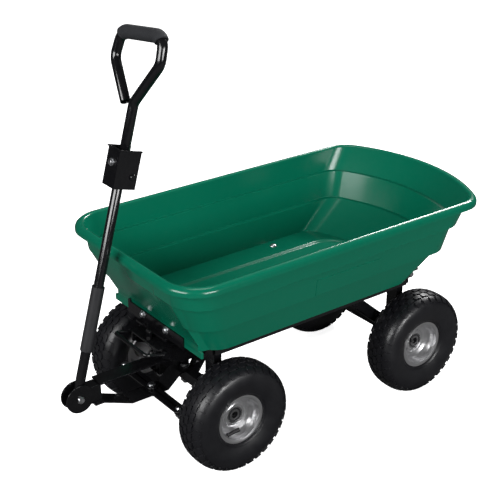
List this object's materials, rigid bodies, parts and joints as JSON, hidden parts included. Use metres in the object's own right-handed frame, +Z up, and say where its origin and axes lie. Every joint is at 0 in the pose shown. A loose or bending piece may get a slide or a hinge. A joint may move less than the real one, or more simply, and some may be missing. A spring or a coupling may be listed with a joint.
{
  "type": "garden cart",
  "caption": "Four-wheel garden dump cart with a stepped green tub, pneumatic tyres, steered front axle and a folding pull handle with a D-shaped grip.",
  "frame": {"origin": "ground level under the middle of the cart's bounding box", "axes": "-Y forwards (the pull handle's end), +X to the cart's left, +Z up"},
  "size_m": [0.504, 1.0779, 0.9715],
  "materials": {
    "green_plastic": "moulded polypropylene, satin gloss",
    "black_coat": "gloss black powder coat",
    "zinc": "bright zinc plate",
    "spring_steel": "oiled spring steel",
    "rim_silver": "silver-grey paint on pressed steel",
    "bearing_steel": "ground steel races with dark seals",
    "tyre_rubber": "black tyre rubber",
    "valve_rubber": "black rubber",
    "foam": "matte foam rubber",
    "sleeve_plastic": "matte black plastic"
  },
  "bodies": {
    "chassis": {"front_axle_beam": "black_coat", "front_yokes": "black_coat", "front_legs": "black_coat", "front_crossmember": "black_coat", "front_pivot_bracket": "black_coat", "front_centre_brace": "black_coat", "front_v_braces": "black_coat", "steering_pivot_bolts": "zinc", "chassis_rails": "black_coat", "chassis_cross_straps": "black_coat", "rear_crossmember": "black_coat", "rear_legs": "black_coat", "rear_braces": "black_coat", "rear_axle_beam": "black_coat", "rear_axle": "black_coat", "tipping_pivot_rod": "zinc", "latch_spring": "spring_steel"},
    "tub_body": {"tub": "green_plastic", "cradle_rails": "black_coat", "cradle_crossbars": "black_coat", "latch_bracket": "black_coat", "tub_front_bolts": "zinc", "tub_floor_bolts": "zinc"},
    "drawbar": {"drawbar_lower_strap": "black_coat", "drawbar_upper_strap": "black_coat", "drawbar_clevis": "black_coat", "king_spacer": "black_coat", "drawbar_bolts": "zinc", "clevis_bolt": "zinc"},
    "handle": {"handle_lower_tube": "black_coat", "handle_sleeve": "sleeve_plastic", "hitch_channel": "black_coat", "fold_bolt": "black_coat", "handle_lock_bolt": "zinc"},
    "upper_handle": {"handle_loop_tube": "black_coat", "foam_grip": "foam"},
    "lever": {"release_lever": "black_coat"},
    "steering_knuckle_left": {"knuckle_left": "black_coat", "knuckle_bolt_left": "zinc"},
    "tie_bar_left": {"tie_rod_left": "black_coat"},
    "steering_knuckle_right": {"knuckle_right": "black_coat", "knuckle_bolt_right": "zinc"},
    "tie_bar_right": {"tie_rod_right": "black_coat"},
    "wheel_front_left": {"tyre_front_left": "tyre_rubber", "inner_tube_front_left": "valve_rubber", "rim_front_left": "rim_silver", "bearings_front_left": "bearing_steel"},
    "wheel_front_right": {"tyre_front_right": "tyre_rubber", "inner_tube_front_right": "valve_rubber", "rim_front_right": "rim_silver", "bearings_front_right": "bearing_steel"},
    "wheel_rear_left": {"tyre_rear_left": "tyre_rubber", "inner_tube_rear_left": "valve_rubber", "rim_rear_left": "rim_silver", "bearings_rear_left": "bearing_steel"},
    "wheel_rear_right": {"tyre_rear_right": "tyre_rubber", "inner_tube_rear_right": "valve_rubber", "rim_rear_right": "rim_silver", "bearings_rear_right": "bearing_steel"}
  },
  "joints": [
    {"name": "tub_tip", "type": "hinge", "parent": "chassis", "child": "tub_body", "pos_m": [0, 0.361, 0.278], "axis": [-1, 0, 0], "range_deg": [0, 60]},
    {"name": "drawbar_steer", "type": "hinge", "parent": "chassis", "child": "drawbar", "pos_m": [0, -0.224, 0.2], "axis": [0, 0, 1], "range_deg": [-28, 28]},
    {"name": "handle_tilt", "type": "hinge", "parent": "drawbar", "child": "handle", "pos_m": [0, -0.506, 0.186], "axis": [1, 0, 0], "range_deg": [0, 100]},
    {"name": "handle_fold", "type": "hinge", "parent": "handle", "child": "upper_handle", "pos_m": [0, -0.35563, 0.66836], "axis": [-1, 0, 0], "range_deg": [0, 150]},
    {"name": "lever_release", "type": "hinge", "parent": "chassis", "child": "lever", "pos_m": [0, -0.318, 0.256], "axis": [1, 0, 0], "range_deg": [0, 25], "stiffness_Nm_per_rad": 0.5, "springref_deg": -34.38},
    {"name": "knuckle_left_steer", "type": "hinge", "parent": "chassis", "child": "steering_knuckle_left", "pos_m": [0.114, -0.224, 0.13], "axis": [0, 0, 1], "range_deg": [-28, 28]},
    {"name": "tie_rod_left_swing", "type": "hinge", "parent": "drawbar", "child": "tie_bar_left", "pos_m": [0, -0.317, 0.14], "axis": [0, 0, 1], "range_deg": [-28, 28]},
    {"name": "knuckle_right_steer", "type": "hinge", "parent": "chassis", "child": "steering_knuckle_right", "pos_m": [-0.114, -0.224, 0.13], "axis": [0, 0, 1], "range_deg": [-28, 28]},
    {"name": "tie_rod_right_swing", "type": "hinge", "parent": "drawbar", "child": "tie_bar_right", "pos_m": [0, -0.317, 0.14], "axis": [0, 0, 1], "range_deg": [-28, 28]},
    {"name": "wheel_front_left_spin", "type": "hinge", "parent": "steering_knuckle_left", "child": "wheel_front_left", "pos_m": [0.188, -0.224, 0.13], "axis": [1, 0, 0], "continuous": true},
    {"name": "wheel_front_right_spin", "type": "hinge", "parent": "steering_knuckle_right", "child": "wheel_front_right", "pos_m": [-0.188, -0.224, 0.13], "axis": [1, 0, 0], "continuous": true},
    {"name": "wheel_rear_left_spin", "type": "hinge", "parent": "chassis", "child": "wheel_rear_left", "pos_m": [0.188, 0.326, 0.13], "axis": [1, 0, 0], "continuous": true},
    {"name": "wheel_rear_right_spin", "type": "hinge", "parent": "chassis", "child": "wheel_rear_right", "pos_m": [-0.188, 0.326, 0.13], "axis": [1, 0, 0], "continuous": true}
  ],
  "couplings": [
    {"joint": "knuckle_left_steer", "follows": "drawbar_steer", "ratio": 1},
    {"joint": "tie_rod_left_swing", "follows": "drawbar_steer", "ratio": -1},
    {"joint": "knuckle_right_steer", "follows": "drawbar_steer", "ratio": 1},
    {"joint": "tie_rod_right_swing", "follows": "drawbar_steer", "ratio": -1}
  ]
}
